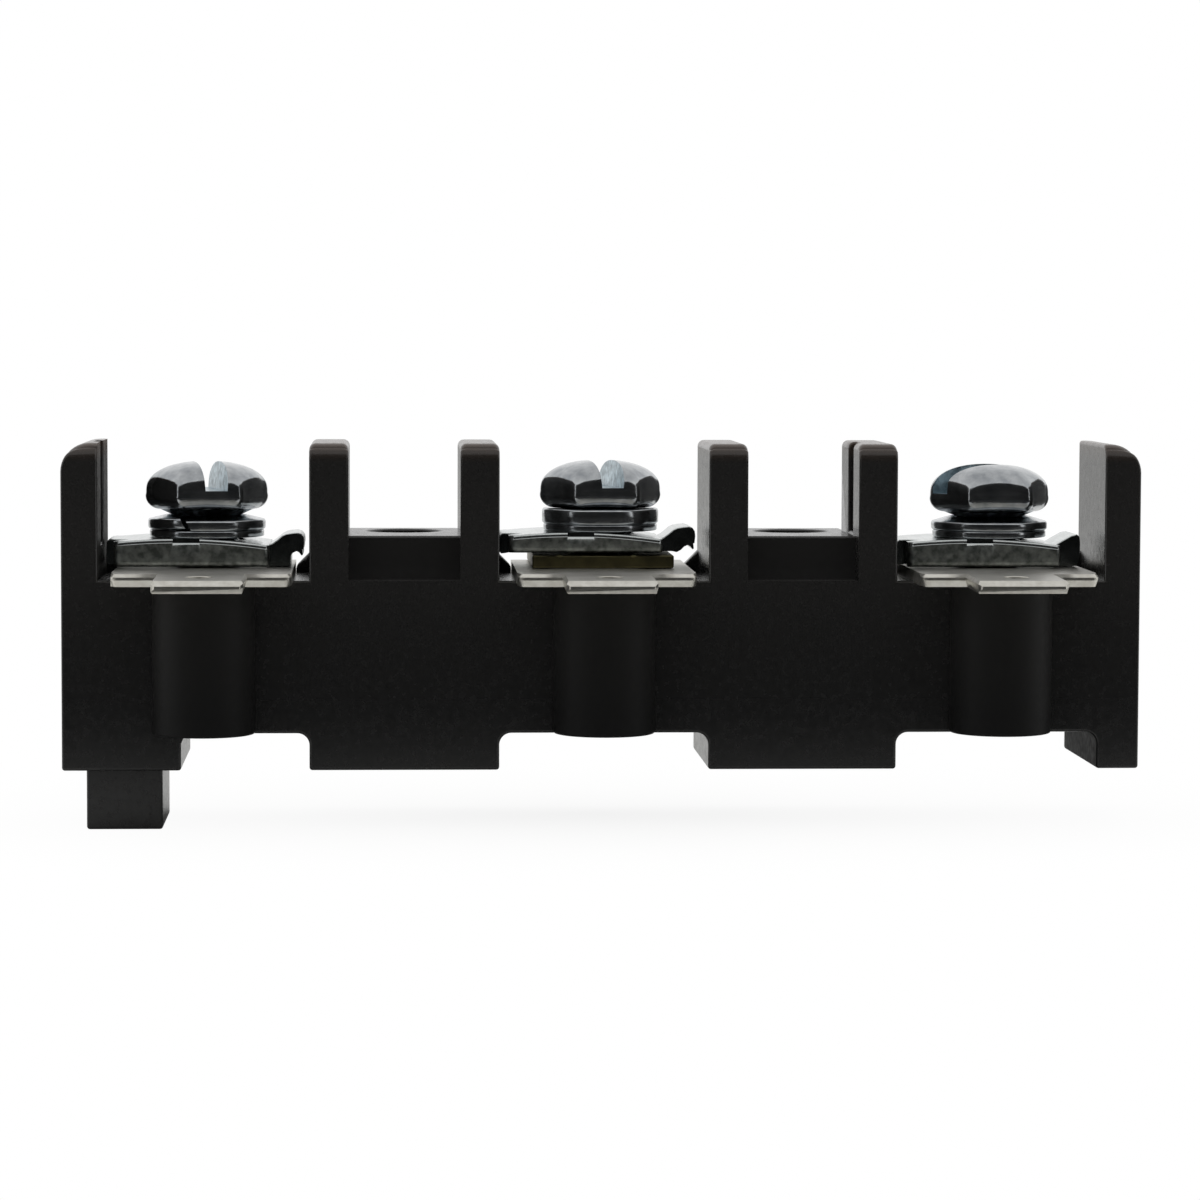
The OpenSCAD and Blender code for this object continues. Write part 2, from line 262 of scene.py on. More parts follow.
def moulded_phenolic(name, gloss, ior):
    """Black phenolic resin: near black, with painted light by height, darker low down as painted
    shade on the base under the plates, greyer up the walls, and lighter and warm at the barrier
    tops as a painted highlight.
    It turns bright where the eye skims along a glossy face, and has the fine grain of its mould."""
    material, tree, output = new_material(name)
    place = add(tree, "TexCoord").outputs["Object"]
    height = add(tree, "SeparateXYZ", {"Vector": place}).outputs["Z"]
    # Painted light by height: dark low on the base for the shade under the plates, greyer up the
    # walls, and a warm painted highlight on the barrier tops
    painted_light_by_height = add(tree, "MapRange", {
        "Value": height, "From Min": 4 * MM, "From Max": BARRIER_TOP_Z * MM,
    })
    colour = add(tree, "ValToRGB", {"Fac": painted_light_by_height.outputs["Result"]})
    ramp = colour.color_ramp.elements
    ramp[0].color = linear("#1d1d1d")
    ramp[1].color = linear("#4e4138")
    for share in (0.69, 0.93):
        ramp.new(share).color = linear("#343332")
    grain = add(tree, "TexNoise", {"Vector": place, "Scale": per_mm(0.5), "Detail": 4})
    shine = add(tree, "MapRange", {
        "Value": grain.outputs["Fac"], "From Min": 0.3, "From Max": 0.7,
        "To Min": gloss[0], "To Max": gloss[1],
    })
    bump = add(tree, "Bump", {
        "Height": grain.outputs["Fac"], "Strength": 0.06, "Distance": RELIEF * MM,
    })
    shader = add(tree, "BsdfPrincipled", {
        "Base Color": colour.outputs["Color"],
        "Roughness": shine.outputs["Result"],
        "Normal": bump.outputs["Normal"],
        "IOR": ior,
    })
    tree.links.new(shader.outputs["BSDF"], output.inputs["Surface"])
    return material


def plated_metal(name, light, dark, roughness, cloud, streak, streak_bump, grain=(1, 0.04, 1)):
    """A plated metal: two tones in clouds of one size, and streaks of one width that run along the
    axis with the small value in its grain."""
    material, tree, output = new_material(name)
    place = add(tree, "TexCoord").outputs["Object"]
    clouds = add(tree, "TexNoise", {"Vector": place, "Scale": per_mm(cloud), "Detail": 4})
    stretch = add(tree, "Mapping", {"Vector": place, "Scale": grain})
    lines = add(tree, "TexNoise", {
        "Vector": stretch.outputs["Vector"], "Scale": per_mm(streak), "Detail": 3,
    })
    colour = add(tree, "ValToRGB", {"Fac": clouds.outputs["Fac"]})
    colour.color_ramp.elements[0].position = 0.32
    colour.color_ramp.elements[0].color = linear(dark)
    colour.color_ramp.elements[1].position = 0.68
    colour.color_ramp.elements[1].color = linear(light)
    gloss = add(tree, "MapRange", {
        "Value": lines.outputs["Fac"], "To Min": roughness[0], "To Max": roughness[1],
    })
    bump = add(tree, "Bump", {
        "Height": lines.outputs["Fac"], "Strength": streak_bump, "Distance": RELIEF * MM,
    })
    shader = add(tree, "BsdfPrincipled", {
        "Base Color": colour.outputs["Color"],
        "Metallic": 1,
        "Roughness": gloss.outputs["Result"],
        "Normal": bump.outputs["Normal"],
    })
    tree.links.new(shader.outputs["BSDF"], output.inputs["Surface"])
    return material


def cad_copy(node):
    """A bmesh copy of a solid, welded, with its flat faces whole again."""
    work = bmesh.new()
    work.from_mesh(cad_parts[node].data)
    bmesh.ops.remove_doubles(work, verts=work.verts, dist=WELD * MM)
    flat = math.radians(0.5)
    bmesh.ops.dissolve_limit(work, angle_limit=flat, verts=work.verts, edges=work.edges)
    return work


def piece(work, name, body, node, slot, *materials):
    """Makes a bmesh into a smooth-shaded piece that rides on a body and stands for a node."""
    bmesh.ops.recalc_face_normals(work, faces=work.faces)
    for face in work.faces:
        face.smooth = True
    mesh = bpy.data.meshes.new(name)
    work.to_mesh(mesh)
    work.free()
    obj = bpy.data.objects.new(name, mesh)
    bpy.context.scene.collection.objects.link(obj)
    for material in materials:
        mesh.materials.append(material)
    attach(obj, body)
    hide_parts(node)
    return obj


def middle(edge):
    """The middle of an edge, in millimetres."""
    return (edge.verts[0].co + edge.verts[1].co) / 2 / MM


def climb(edge):
    """How far an edge climbs, in millimetres."""
    return abs(edge.verts[0].co.z - edge.verts[1].co.z) / MM


def about(a, b, gap=0.01):
    """Whether two measures are about the same."""
    return abs(a - b) < gap


def round_edges(work, radius, picked=None, segments=3):
    """Rounds the edges that turn by more than 30 degrees, or a picked set of them."""
    edges = [e for e in work.edges if e.calc_face_angle(0) > math.radians(30)]
    if picked:
        edges = [e for e in edges if picked(e)]
    bmesh.ops.bevel(
        work, geom=edges, offset=radius * MM, offset_type="OFFSET", segments=segments, profile=0.5,
        affect="EDGES", clamp_overlap=False,
    )
    bmesh.ops.remove_doubles(work, verts=work.verts, dist=WELD * MM)


def even_shading(obj, crease=44):
    """Keeps flat faces flat to the eye beside their rounded edges."""
    obj.data.set_sharp_from_angle(angle=math.radians(crease))
    normals = obj.modifiers.new("even_shading", "WEIGHTED_NORMAL")
    normals.weight = 100
    normals.keep_sharp = True
    return obj


def soft_min(a, b, blend):
    """The smaller of two values, with a rounded change from one to the other."""
    h = max(blend - abs(a - b), 0) / blend
    return min(a, b) - h * h * blend / 4


def lathe(work, rows, columns):
    """Joins rings of points into a closed skin. A row with one point is a pole."""
    rings = [[work.verts.new(Vector(p) * MM) for p in row] for row in rows]
    for low, high in zip(rings, rings[1:]):
        for i in range(columns):
            j = (i + 1) % columns
            corners = [low[i % len(low)], low[j % len(low)]]
            corners += [high[j % len(high)], high[i % len(high)]]
            work.faces.new(dict.fromkeys(corners))


def hex_radius(turn):
    """Radius of a hexagon with rounded corners, at an angle in degrees from a corner."""
    across = HEAD_AF / 2
    facet = across / math.cos(math.radians(turn % 60 - 30))
    corner = across / math.cos(math.radians(30)) - HEAD_CORNER_R / math.cos(math.radians(30))
    off = math.radians((turn + 30) % 60 - 30)
    room = HEAD_CORNER_R ** 2 - (corner * math.sin(off)) ** 2
    if room <= 0:
        return facet
    return min(facet, corner * math.cos(off) + math.sqrt(room))


def head_rows():
    """Heights up the head, each with a function of the hexagon's radius that gives its own."""
    widest = hex_radius(0)
    steps = 14
    for k in range(steps + 1):
        a = math.radians(90 * k / steps)
        inset = (widest - HEAD_FLAT_R) * (1 - math.sin(a))
        yield HEAD_UNDER_H * (1 - math.cos(a)), lambda flat, inset=inset: flat - inset
    steps = 44
    for k in range(steps):
        a = math.radians(90 * k / steps)
        rise = math.sin(a) ** (2 / HEAD_DOME)
        round_share = math.cos(a) ** (2 / HEAD_DOME)

        def radius(flat, rise=rise, round_share=round_share):
            pull = HEAD_HEX_SHARE * (1 - flat / widest) * (1 - rise)
            return soft_min(widest * round_share * (1 - pull), flat, HEAD_BLEND)

        yield HEAD_SIDE_H + (HEAD_H - HEAD_SIDE_H) * rise, radius


def thread_radius(angle, z, length):
    """Radius of the thread at an angle and a height above the tip, run out at both ends."""
    turn = (z / THREAD_PITCH - angle / (2 * math.pi)) % 1
    flank = abs(2 * turn - 1)
    fade = min(1, z / THREAD_PITCH, (length - z) / THREAD_PITCH * 2)
    return SCREW_D / 2 - THREAD_DEPTH * (1 - flank) * max(fade, 0)


def screw(pole, zinc, cut):
    """Hex-head machine screw with a driver slot, turned as it was driven."""
    columns = 6 * len(HEX_COLUMNS)
    low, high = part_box(f"{pole}_screw")
    axis = Vector(((low.x + high.x) / 2, (low.y + high.y) / 2, 0)) / MM
    tip_z = low.z / MM
    head_z = tip_z + SCREW_LEN
    turn = HEAD_TURN[pole]
    angles = [math.radians(turn + 60 * side + a) for side in range(6) for a in HEX_COLUMNS]

    def ring(radius_at, z):
        around = [(radius_at(a), a) for a in angles]
        return [axis + Vector((r * math.cos(a), r * math.sin(a), z)) for r, a in around]

    rows = [[axis + Vector((0, 0, tip_z))]]
    rows.append(ring(lambda a: SCREW_D / 2 - THREAD_DEPTH, tip_z))
    length = SCREW_LEN - HEAD_CONE[pole]
    rows_a_turn = 10
    steps = round(length / THREAD_PITCH * rows_a_turn)
    for k in range(1, steps):
        z = length * k / steps
        cut_in = max(0, SCREW_TIP_CUT - z)
        rows.append(ring(lambda a: thread_radius(a, z, length) - cut_in, tip_z + z))
    rows.append(ring(lambda a: SCREW_D / 2, tip_z + length))
    for z, radius in head_rows():
        rows.append(ring(lambda a: radius(hex_radius(math.degrees(a) - turn)), head_z + z))
    rows.append([axis + Vector((0, 0, head_z + HEAD_H))])
    work = bmesh.new()
    lathe(work, rows, columns)
    for face in work.faces:
        neck = tip_z + length < face.calc_center_median().z / MM < head_z
        face.material_index = 1 if neck else 0
    node = f"{pole}_screw"
    obj = piece(work, f"{pole}_terminal_screw", node, node, "zinc_steel", zinc, cut)

    cutter = bmesh.new()
    bmesh.ops.create_cube(cutter, size=1)
    slot = Matrix.Translation((axis + Vector((0, 0, head_z + HEAD_H))) * MM)
    slot = slot @ Matrix.Rotation(math.radians(SLOT_TURN[pole]), 4, "Z")
    slot = slot @ Matrix.Diagonal((SLOT_W * MM, 2 * HEAD_AF * MM, 2 * SLOT_DEPTH[pole] * MM, 1))
    for vert in cutter.verts:
        if vert.co.z > 0:
            vert.co.x *= 1 + 4 * SLOT_LEAN / SLOT_W
    cutter.transform(slot)
    for face in cutter.faces:
        face.material_index = 1
    combine(obj, cutter, "DIFFERENCE")
    obj.data.set_sharp_from_angle(angle=math.radians(50))
    return obj


def combine(obj, work, operation):
    """Joins a bmesh's shape to a piece's mesh, or takes it out."""
    mesh = bpy.data.meshes.new("tool")
    work.to_mesh(mesh)
    work.free()
    tool = bpy.data.objects.new("tool", mesh)
    bpy.context.scene.collection.objects.link(tool)
    boolean = obj.modifiers.new("shape", "BOOLEAN")
    boolean.object = tool
    boolean.operation = operation
    boolean.solver = "EXACT"
    bpy.context.view_layer.update()
    graph = bpy.context.evaluated_depsgraph_get()
    shaped = bpy.data.meshes.new_from_object(obj.evaluated_get(graph))
    obj.modifiers.remove(boolean)
    bpy.data.objects.remove(tool)
    kinds = [face.material_index for face in shaped.polygons]
    shaped.materials.clear()
    for material in obj.data.materials:
        shaped.materials.append(material)
    shaped.polygons.foreach_set("material_index", kinds)
    obj.data = shaped


def bar(outline, span, at, along="Y"):
    """A solid with an outline: seen from the front and run along Y, or seen from the side and run
    along X."""
    work = bmesh.new()

    def place(a, b, run):
        return (at + Vector((a, run, b) if along == "Y" else (run, a, b))) * MM

    near, far = [[work.verts.new(place(a, b, run)) for a, b in outline] for run in span]
    work.faces.new(near)
    work.faces.new(far[::-1])
    for i in range(len(outline)):
        j = (i + 1) % len(outline)
        work.faces.new((near[i], near[j], far[j], far[i]))
    bmesh.ops.recalc_face_normals(work, faces=work.faces)
    return work


def clamp_saddle(pole, at):
    """The crowned saddle of a wire clamp. Its front lip is torn metal with a burnished band above,
    as a press leaves it, and the lip's ends are rounded off."""
    foot = LIP_FOOT[pole]
    base = max(foot, 0)
    (x0, x1), (y0, y1) = LIP_X, LIP_Y
    r0, r1 = LIP_CORNER_R
    quarter = [math.radians(15 * k) for k in range(7)]
    places = [(x0 + r0 * (1 - math.cos(a)), y0 + r0 * (1 - math.sin(a))) for a in quarter]
    steps = 24
    places += [(x0 + r0 + (x1 - r1 - x0 - r0) * k / steps, y0) for k in range(1, steps)]
    places += [(x1 - r1 * (1 - math.cos(a)), y0 + r1 * (1 - math.sin(a))) for a in quarter[::-1]]
    back, up = BACK_CUT
    work = bmesh.new()
    rings = []
    for x, y in places:
        top = CROWN_Z - CROWN_FALL * (x - CROWN_X) ** 2
        section = [(y + a, foot + b) for a, b in LIP_FOOT_ROUND]
        section += [(y + a, top - b) for a, b in LIP_TOP_ROUND]
        section += [(y1 - a, top - b) for a, b in BACK_ROUND]
        section += [(y1, up), (y1 - back, base), (y0 + LIP_T + back, base), (y0 + LIP_T, foot)]
        rings.append([work.verts.new((at + Vector((x, a, b))) * MM) for a, b in section])
    torn = len(LIP_FOOT_ROUND)
    for near, far in zip(rings, rings[1:]):
        for i in range(len(near)):
            j = (i + 1) % len(near)
            face = work.faces.new((near[i], near[j], far[j], far[i]))
            face.material_index = 1 if i < torn else 0
    for end in (rings[0], rings[-1]):
        work.faces.new(end).material_index = 1
    bmesh.ops.recalc_face_normals(work, faces=work.faces)
    return work


def clamp_ear(outline, at):
    """An ear of a wire clamp, set back from the lip."""
    ear = bar(outline, EAR_Y, at)

    def upper(edge):
        across = about(edge.verts[0].co.y / MM, edge.verts[1].co.y / MM)
        return across and middle(edge).z > at.z + EAR_ROUND_Z

    round_edges(ear, EAR_EDGE_R, upper)
    for face in ear.faces:
        # The ears' front and back faces take the dark copy, painted shade
        face.material_index = 2 if abs(face.normal.y) > 0.8 else 0
    return ear


def clamp(pole, plate, sheared, blanked_painted_shade):
    """Stamped wire clamp: a crowned saddle with a plain ear at the left and, at the right, a raised
    ear with a small hook."""
    node = f"{pole}_clamp"
    axis = sum(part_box(f"{pole}_screw"), Vector()) / 2 / MM
    at = Vector((axis.x + CLAMP_SHIFT[pole], axis.y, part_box(node)[0].z / MM + LEG_DROP))
    saddle = clamp_saddle(pole, at)
    obj = piece(
        saddle, f"{pole}_wire_clamp", f"{pole}_clamp_stack", node, "clamp_steel",
        plate, sheared, blanked_painted_shade,
    )
    combine(obj, clamp_ear(LEFT_EAR[pole], at), "UNION")
    combine(obj, clamp_ear(RIGHT_EAR[pole], at), "UNION")
    hole = bmesh.new()
    bmesh.ops.create_cone(
        hole, cap_ends=True, segments=64, radius1=WASHER_BORE_R * MM, radius2=WASHER_BORE_R * MM,
        depth=8 * MM, matrix=Matrix.Translation(at * MM),
    )
    combine(obj, hole, "DIFFERENCE")
    y, floor = LIP_Y[0], CROWN_Z - NOTCH_DEPTH
    ahead, above, back = y - 1, CROWN_Z + 1, y + NOTCH_BACK
    run, fall = NOTCH_FALL
    side = ((ahead, floor - fall), (y, floor - fall), (y + run, floor), (back, floor))
    notch = bar(side + ((back, above), (ahead, above)), NOTCH_X, at, along="X")
    for face in notch.faces:
        # The notch's back wall takes the dark copy, painted shade
        face.material_index = 2 if face.normal.y > 0.9 else 0
    combine(obj, notch, "DIFFERENCE")
    for face in obj.data.polygons:
        face.use_smooth = True
    return even_shading(obj)


def lock_washer(pole, material):
    """Split spring washer: a square-section coil of not quite one turn."""
    low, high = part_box(f"{pole}_lock_washer")
    centre = Vector((low.x + high.x, low.y + high.y, 0)) / 2 / MM
    z0 = low.z / MM
    outer_h, wire_h = LOCK_WASHER_OUTER_H[pole], LOCK_WASHER_INNER_H[pole]
    corner = LOCK_WASHER_EDGE_R
    outer_r, inner_r = LOCK_WASHER_R - corner, WASHER_BORE_R + corner
    section = []
    for r, z, start in (
        (outer_r, corner, 270), (outer_r, outer_h - corner, 0),
        (inner_r, wire_h - corner, 90), (inner_r, corner, 180),
    ):
        for k in range(4):
            a = math.radians(start + 30 * k)
            section.append((r + corner * math.cos(a), z + corner * math.sin(a)))
    steps = 80
    lean = math.tan(math.radians(SPLIT_LEAN))
    work = bmesh.new()
    rings = []
    for i in range(steps + 1):
        t = i / steps
        lift = LOCK_WASHER_RISE[pole] * t ** 6
        ring = []
        for r, z in section:
            gap = SPLIT_W / 2 / r
            skew = lean * (z - wire_h / 2) / r
            a = math.radians(SPLIT_TURN[pole]) + gap + t * (2 * math.pi - 2 * gap) - skew
            p = centre + Vector((r * math.cos(a), r * math.sin(a), z0 + z + lift))
            ring.append(work.verts.new(p * MM))
        rings.append(ring)
    for low_ring, high_ring in zip(rings, rings[1:]):
        for i in range(len(section)):
            j = (i + 1) % len(section)
            work.faces.new((low_ring[i], low_ring[j], high_ring[j], high_ring[i]))
    work.faces.new(rings[0])
    work.faces.new(rings[-1])
    name = f"{pole}_spring_washer"
    obj = piece(work, name, f"{pole}_clamp_stack", f"{pole}_lock_washer", "zinc_steel", material)
    obj.data.set_sharp_from_angle(angle=math.radians(50))
    return obj


def softened(node, name, body, slot, radius, *materials):
    """A solid's own shape with rounded edges."""
    work = cad_copy(node)
    round_edges(work, radius)
    return even_shading(piece(work, name, body, node, slot, *materials))


def round_brows(work):
    """Rounds the front of each barrier's and wall's top. The faces there are cut into a grid, and
    the grid's points are drawn in from a square corner to a round one."""
    low, back = BARRIER_TOP_Z - BROW_R, BLOCK_FACE_Y + BROW_R
    steps = 7

    def cut(along, place):
        faces = [f for f in work.faces if max(v.co.z for v in f.verts) > (low + WELD) * MM]
        edges = dict.fromkeys(e for f in faces for e in f.edges)
        verts = dict.fromkeys(v for e in edges for v in e.verts)
        bmesh.ops.bisect_plane(
            work, geom=[*verts, *edges, *faces], dist=WELD * MM,
            plane_co=along * place * MM, plane_no=along,
        )

    for k in range(steps):
        cut(Vector((0, 0, 1)), low + BROW_R * k / steps)
    for k in range(steps):
        cut(Vector((0, 1, 0)), back - BROW_R * k / steps)
    for vert in work.verts:
        u = (back - vert.co.y / MM) / BROW_R
        w = (vert.co.z / MM - low) / BROW_R
        if u > 0 and w > 0:
            pull = max(u, w) / math.hypot(u, w)
            vert.co.y = (back - BROW_R * u * pull) * MM
            vert.co.z = (low + BROW_R * w * pull) * MM


def moulded_block(glossy, matt, satin):
    """The block, with the small radii of its mould, larger on top of the barriers. The join of the
    left boss and foot is sharp, and so are the shelves in front of the webs and the edges on top of
    the left wall beside its groove."""
    work = cad_copy("block_body")

    def crest(edge):
        p = middle(edge)
        along_y = abs((edge.verts[0].co - edge.verts[1].co).normalized().y) > 0.99
        on_barrier = about(p.z, BARRIER_TOP_Z) and abs(p.x) < END_X
        return along_y and edge.is_convex and on_barrier and not about(p.y, GROOVE_Y, 0.1)

    def outer(edge):
        p = middle(edge)
        join = all(lo < v < hi for v, (lo, hi) in zip(p, BOSS_JOIN))
        shelf = about(abs(p.x), WEB_X, 4.5) and p.y < BLOCK_FACE_Y + 0.1 and about(p.z, SEAT_Z, 0.1)
        on_wall = about(p.x, -END_WALL_X, 1.2) and p.z > BARRIER_TOP_Z - 0.6 and climb(edge) < 1
        groove_top = on_wall and p.y > BLOCK_FACE_Y + 0.1
        return edge.is_convex and not join and not shelf and not groove_top

    round_edges(work, CREST_R, crest, segments=5)
    round_edges(work, BLOCK_EDGE_R, outer)
    round_brows(work)
    for face in work.faces:
        p = face.calc_center_median() / MM
        behind = p.y > BLOCK_FACE_Y - 0.01
        wall_side = face.normal.x > 0.9 and p.x < 0.1 - END_WALL_X and p.z > SEAT_Z
        foot_side = face.normal.x < -0.3 and p.x > END_X and p.z < FOOT_SHADE_Z and behind
        between = about(abs(p.x), WEB_X, 3) and p.y < WEB_FACE_Y + 0.1
        bay = between and SEAT_Z - 0.1 < p.z < SEAT_Z + BAY_SHADE_H
        boss = not behind and p.z < SEAT_Z
        # Painted shade: the dull copy goes on the left wall's inner side, the right foot's inner
        # side and low in the bays
        if wall_side or foot_side or bay:
            face.material_index = 1
        elif boss:
            face.material_index = 2
    obj = piece(work, "moulded_block", "block", "block_body", "moulded_black", glossy, matt, satin)
    return even_shading(obj)


def terminal_plate(pole, tin, tin_edge_painted_light):
    """Stamped terminal plate, bent down a little in front of the block. The tab's tip is chamfered
    for its receptacle. The front edges are broken above and more so below, where the die drew the
    metal down."""
    node = f"{pole}_terminal_plate"
    low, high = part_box(node)
    tip_y, top_z, under_z = low.y / MM, high.z / MM, low.z / MM
    middle_x = (low.x + high.x) / 2 / MM
    work = cad_copy(node)

    def corner(edge):
        return climb(edge) > 0.1 and edge.is_convex and about(middle(edge).y, PLATE_FRONT_Y)

    def rim(edge):
        return edge.calc_length() < RIM_EDGE_LEN * MM and about(middle(edge).x, middle_x, RIM_REACH)

    def in_front(edge):
        return not rim(edge) and tip_y + 0.3 < middle(edge).y < PLATE_FRONT_Y + 0.5

    def on_top(edge):
        return about(middle(edge).z, top_z)

    def under(edge):
        return about(middle(edge).z, under_z)

    round_edges(work, PLATE_CORNER_R, corner, segments=4)
    round_edges(work, RIM_CUT, lambda e: rim(e) and on_top(e), segments=1)
    round_edges(work, TAB_TIP_CUT, lambda e: about(middle(e).y, tip_y), segments=1)
    round_edges(work, PLATE_TOP_CUT, lambda e: in_front(e) and on_top(e), segments=1)
    round_edges(work, PLATE_UNDER_CUT, lambda e: in_front(e) and under(e), segments=1)
    # The edges take the paler tin, painted light
    for face in work.faces:
        face.material_index = 0 if abs(face.normal.z) > 0.9 else 1
    for vert in work.verts:
        if about(vert.co.z / MM, under_z + PLATE_UNDER_CUT):
            vert.co.z += PLATE_UNDER_RISE * MM
        ahead = max(0, BLOCK_FACE_Y - vert.co.y / MM)
        deep = (top_z - vert.co.z / MM) / (top_z - under_z)
        vert.co.z -= (ahead * PLATE_DROOP + deep * min(ahead, 1) * PLATE_DRAW) * MM
    obj = piece(work, f"{pole}_tinned_plate", "block", node, "tinned_plate", tin, tin_edge_painted_light)
    return even_shading(obj, crease=20)


def link(brass):
    """Rolled brass strap under the centre clamp, with two small pips on its front edge."""
    low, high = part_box("neutral_link")
    obj = softened("neutral_link", "neutral_strap", "block", "link_brass", LINK_EDGE_R, brass)
    for x in LINK_PIP_X:
        pip = bmesh.new()
        size = Matrix.Diagonal((*Vector(LINK_PIP_SIZE) * MM, 1))
        place = Matrix.Translation(Vector((x * MM, low.y, high.z - LINK_PIP_DROP * MM)))
        bmesh.ops.create_uvsphere(pip, u_segments=24, v_segments=12, radius=1, matrix=place @ size)
        combine(obj, pip, "UNION")
    obj.data.shade_smooth()
    return obj


def make_camera():
    """The camera that took the photograph."""
    data = bpy.data.cameras.new("camera")
    data.sensor_width = SENSOR_W
    data.lens = SENSOR_W * FOCAL_PX / IMAGE_PX
    data.clip_start = 1 * MM
    data.clip_end = 10000 * MM
    camera = bpy.data.objects.new("camera", data)
    bpy.context.scene.collection.objects.link(camera)
    camera.matrix_world = (
        Matrix.Translation(Vector(CAMERA_AT) * MM)
        @ Matrix.Rotation(math.radians(-CAMERA_YAW), 4, "Z")
        @ Matrix.Rotation(math.radians(90 + CAMERA_PITCH), 4, "X")
        @ Matrix.Rotation(math.radians(CAMERA_ROLL), 4, "Z")
    )
    bpy.context.scene.camera = camera


def board(name, corners, material):
    """A flat four-cornered sheet of the studio."""
    mesh = bpy.data.meshes.new(name)
    mesh.from_pydata([Vector(c) * MM for c in corners], [], [(0, 1, 2, 3)])
    mesh.materials.append(material)
    obj = bpy.data.objects.new(name, mesh)
    bpy.context.scene.collection.objects.link(obj)
    return obj


def make_studio():
    """White tent, pale floor, one broad light overhead, and the dark room in front."""
    world = bpy.data.worlds.new("white_tent")
    bpy.context.scene.world = world
    world.use_nodes = True
    tree = world.node_tree
    tree.nodes.clear()
    ray = add(tree, "LightPath").outputs
    eye, mirror, clear = ray["Is Camera Ray"], ray["Is Glossy Ray"], ray["Is Transmission Ray"]
    seen = add(tree, "Math", {0: eye, 1: mirror}, operation="MAXIMUM")
    seen = add(tree, "Math", {0: seen.outputs[0], 1: clear}, operation="MAXIMUM")
    white = linear("#ffffff")
    lit = add(tree, "Background", {"Color": white, "Strength": TENT_LEVEL})
    place = add(tree, "TexCoord").outputs["Generated"]
    height = add(tree, "SeparateXYZ", {"Vector": place}).outputs["Z"]
    roof = add(tree, "MapRange", {
        "Value": height, "From Min": ROOF_FROM, "From Max": ROOF_TO,
        "To Min": 1, "To Max": ROOF_LEVEL,
    })
    shown = add(tree, "Background", {"Color": white, "Strength": roof.outputs["Result"]})
    tent = add(tree, "MixShader", {0: seen.outputs[0], 1: lit.outputs[0], 2: shown.outputs[0]})
    add(tree, "OutputWorld", {"Surface": tent.outputs[0]})

    paper, tree, output = new_material("white_paper_sheet")
    camera_ray = add(tree, "LightPath").outputs["Is Camera Ray"]
    matte = add(tree, "BsdfDiffuse", {"Color": linear("#f2f2f0")})
    glow = add(tree, "Emission", {"Color": white, "Strength": 1})
    place = add(tree, "TexCoord").outputs["Object"]
    span = (1 / (SHADOW_REACH[0] * MM), 1 / (SHADOW_REACH[1] * MM), 0)
    around = add(tree, "Mapping", {"Vector": place, "Scale": span}).outputs["Vector"]
    fade = add(tree, "TexGradient", {"Vector": around}, gradient_type="QUADRATIC_SPHERE")
    lift = add(tree, "MapRange", {
        "Value": fade.outputs["Fac"], "To Min": 1, "To Max": FLOOR_LIFT,
    })
    lift = add(tree, "Math", {0: camera_ray, 1: lift.outputs["Result"]}, operation="MULTIPLY")
    sheet = add(tree, "MixShader", {0: lift.outputs[0], 1: matte.outputs[0], 2: glow.outputs[0]})
    tree.links.new(sheet.outputs[0], output.inputs["Surface"])
    z = cad_box[0].z / MM
    half = FLOOR_W / 2
    board("floor", [(-half, -half, z), (half, -half, z), (half, half, z), (-half, half, z)], paper)

    cloth, tree, output = new_material("black_cloth")
    dark = add(tree, "BsdfDiffuse", {"Color": linear("#424242")})
    tree.links.new(dark.outputs[0], output.inputs["Surface"])
    x, y = DARK_ROOM_W / 2, DARK_ROOM_Y
    top = z + DARK_ROOM_H
    wall = board("dark_wall", [(-x, y, z), (x, y, z), (x, y, top), (-x, y, top)], cloth)
    near, low = DARK_FLOOR_Y, z + DARK_FLOOR_LIFT
    table = board("dark_table", [(-x, y, low), (x, y, low), (x, near, low), (-x, near, low)], cloth)
    for obj in (wall, table):
        obj.visible_camera = False

    light = bpy.data.lights.new("top_light", "AREA")
    light.shape = "SQUARE"
    light.size = TOP_LIGHT_W * MM
    light.energy = TOP_LIGHT_WATTS
    lamp = bpy.data.objects.new("top_light", light)
    lamp.location = Vector(TOP_LIGHT_AT) * MM
    lamp.rotation_euler = (-Vector(TOP_LIGHT_AT)).to_track_quat("-Z", "Y").to_euler()
    lamp.visible_glossy = False
    bpy.context.scene.collection.objects.link(lamp)


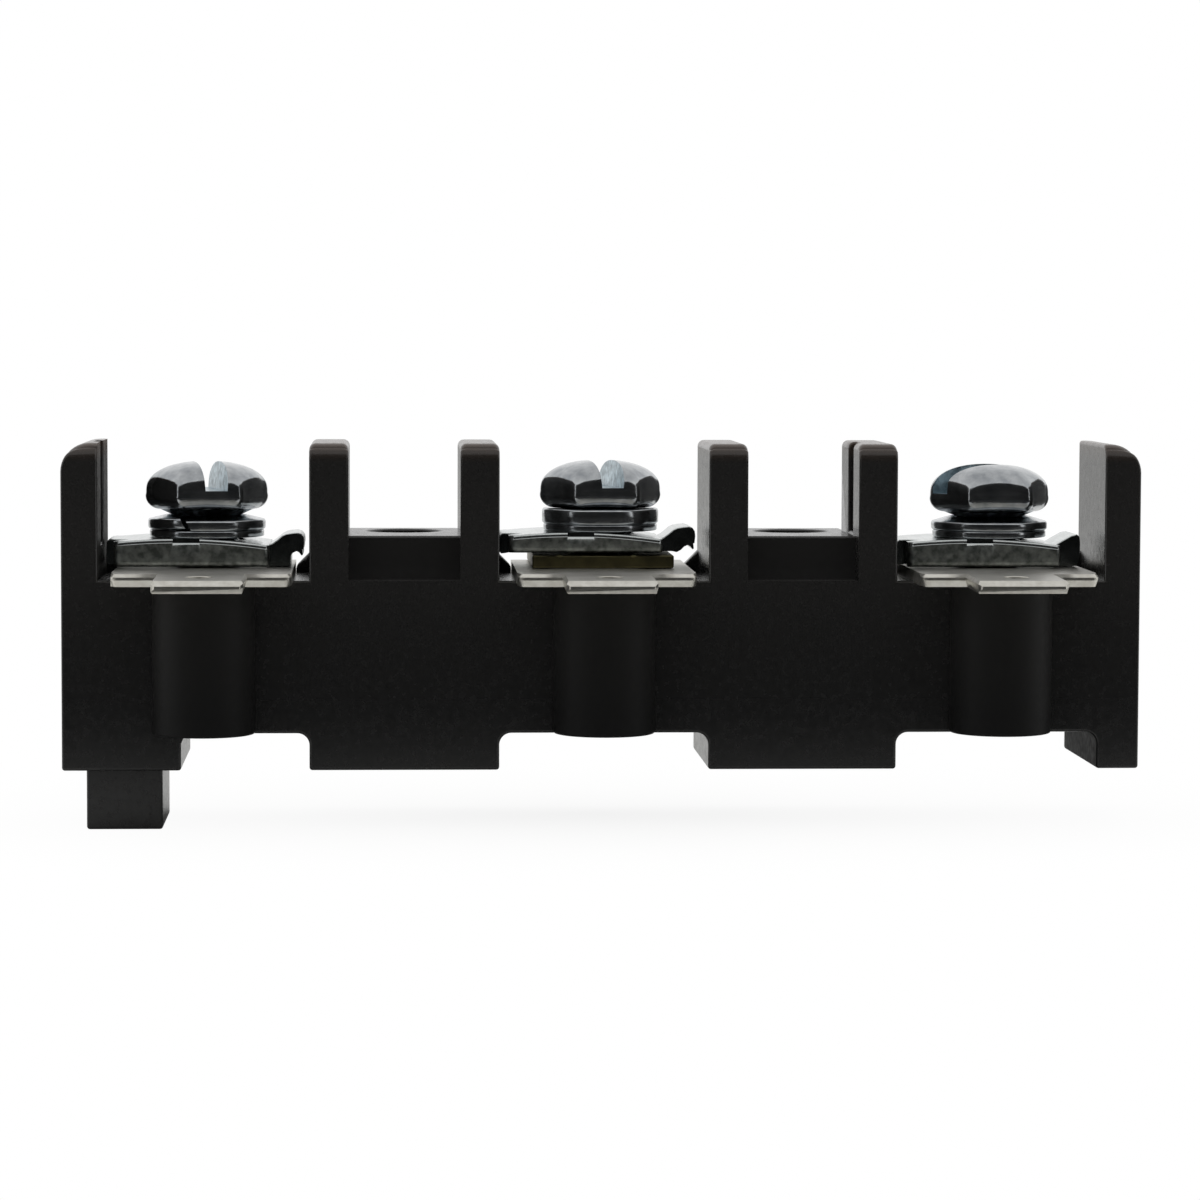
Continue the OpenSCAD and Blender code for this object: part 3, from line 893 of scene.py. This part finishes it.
def build():
    """All pieces, each on its body."""
    # The polished mould's own gloss, which shows most on the barriers' sides
    phenolic = moulded_phenolic("black_phenolic_moulded", gloss=(0.2, 0.3), ior=1.5)
    # Painted shade: a duller copy, matt and with weak reflections so it stays dark from any side,
    # for faces where shade and dark reflections fall
    matt = moulded_phenolic("black_phenolic_painted_shade", gloss=(0.5, 0.7), ior=1.16)
    # The bosses, duller than the flat faces, with only a faint streak up their sides
    satin = moulded_phenolic("black_phenolic_satin", gloss=(0.4, 0.55), ior=1.2)
    # Bright zinc with a blue chromate: a cold mirror, a little clouded
    zinc = plated_metal(
        "steel_blue_zinc_plated", "#bfc2c4", "#9b9fa3",
        roughness=(0.1, 0.24), cloud=0.9, streak=0.2, streak_bump=0.08,
    )
    # The same zinc in the pressed slot and at the neck: rougher, in light and dark patches
    cut = plated_metal(
        "steel_blue_zinc_pressed_slot", "#c8d7de", "#7a878e",
        roughness=(0.22, 0.4), cloud=0.5, streak=0.12, streak_bump=0.3,
    )
    # Hot tin on brass: whiter and softer, with faint rolling lines of the strip
    tin = plated_metal(
        "brass_tin_plated", "#d6d4ce", "#c0beb7",
        roughness=(0.36, 0.42), cloud=2.5, streak=0.25, streak_bump=0.04,
    )
    # The same tin over the sheared edges: smoother, and paler than on the faces as painted light,
    # so the edges read bright
    tin_edge_painted_light = plated_metal(
        "brass_tin_plated_sheared_painted_light", "#e4e2da", "#d0cdc4",
        roughness=(0.28, 0.42), cloud=0.6, streak=0.15, streak_bump=0.15,
    )
    # Stamped steel sheet under clear zinc: a soft grey mirror
    sheet = plated_metal(
        "steel_sheet_zinc_plated", "#cfd3d2", "#bcc0bf",
        roughness=(0.16, 0.28), cloud=1.2, streak=0.2, streak_bump=0.1,
    )
    # Where the sheet was torn off: rough and dark, with upright streaks
    sheared = plated_metal(
        "steel_sheared", "#a8aca8", "#656966",
        roughness=(0.34, 0.56), cloud=0.5, streak=0.22, streak_bump=0.8, grain=(1, 1, 0.15),
    )
    # The blanked sides of the ears and the notch's back wall: smooth, and darker than the sheet as
    # painted shade on these set-back faces
    blanked_painted_shade = plated_metal(
        "steel_blanked_painted_shade", "#6f7372", "#4c504f",
        roughness=(0.12, 0.22), cloud=0.8, streak=0.15, streak_bump=0.1,
    )
    # Rolled brass, dulled
    brass = plated_metal(
        "brass_rolled", "#706a4b", "#56523c",
        roughness=(0.3, 0.45), cloud=1.2, streak=0.2, streak_bump=0.15,
    )

    moulded_block(phenolic, matt, satin)
    link(brass)
    for pole in POLES:
        stack = f"{pole}_clamp_stack"
        terminal_plate(pole, tin, tin_edge_painted_light)
        clamp(pole, sheet, sheared, blanked_painted_shade)
        washer = f"{pole}_flat_washer"
        softened(washer, f"{pole}_plain_washer", stack, "zinc_steel", FLAT_WASHER_EDGE_R, zinc)
        lock_washer(pole, zinc)
        screw(pole, zinc, cut)
        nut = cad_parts[f"{pole}_nut"]
        nut.data.materials.clear()
        nut.data.materials.append(zinc)


make_camera()
make_studio()
build()
bpy.context.scene.view_settings.view_transform = "Standard"
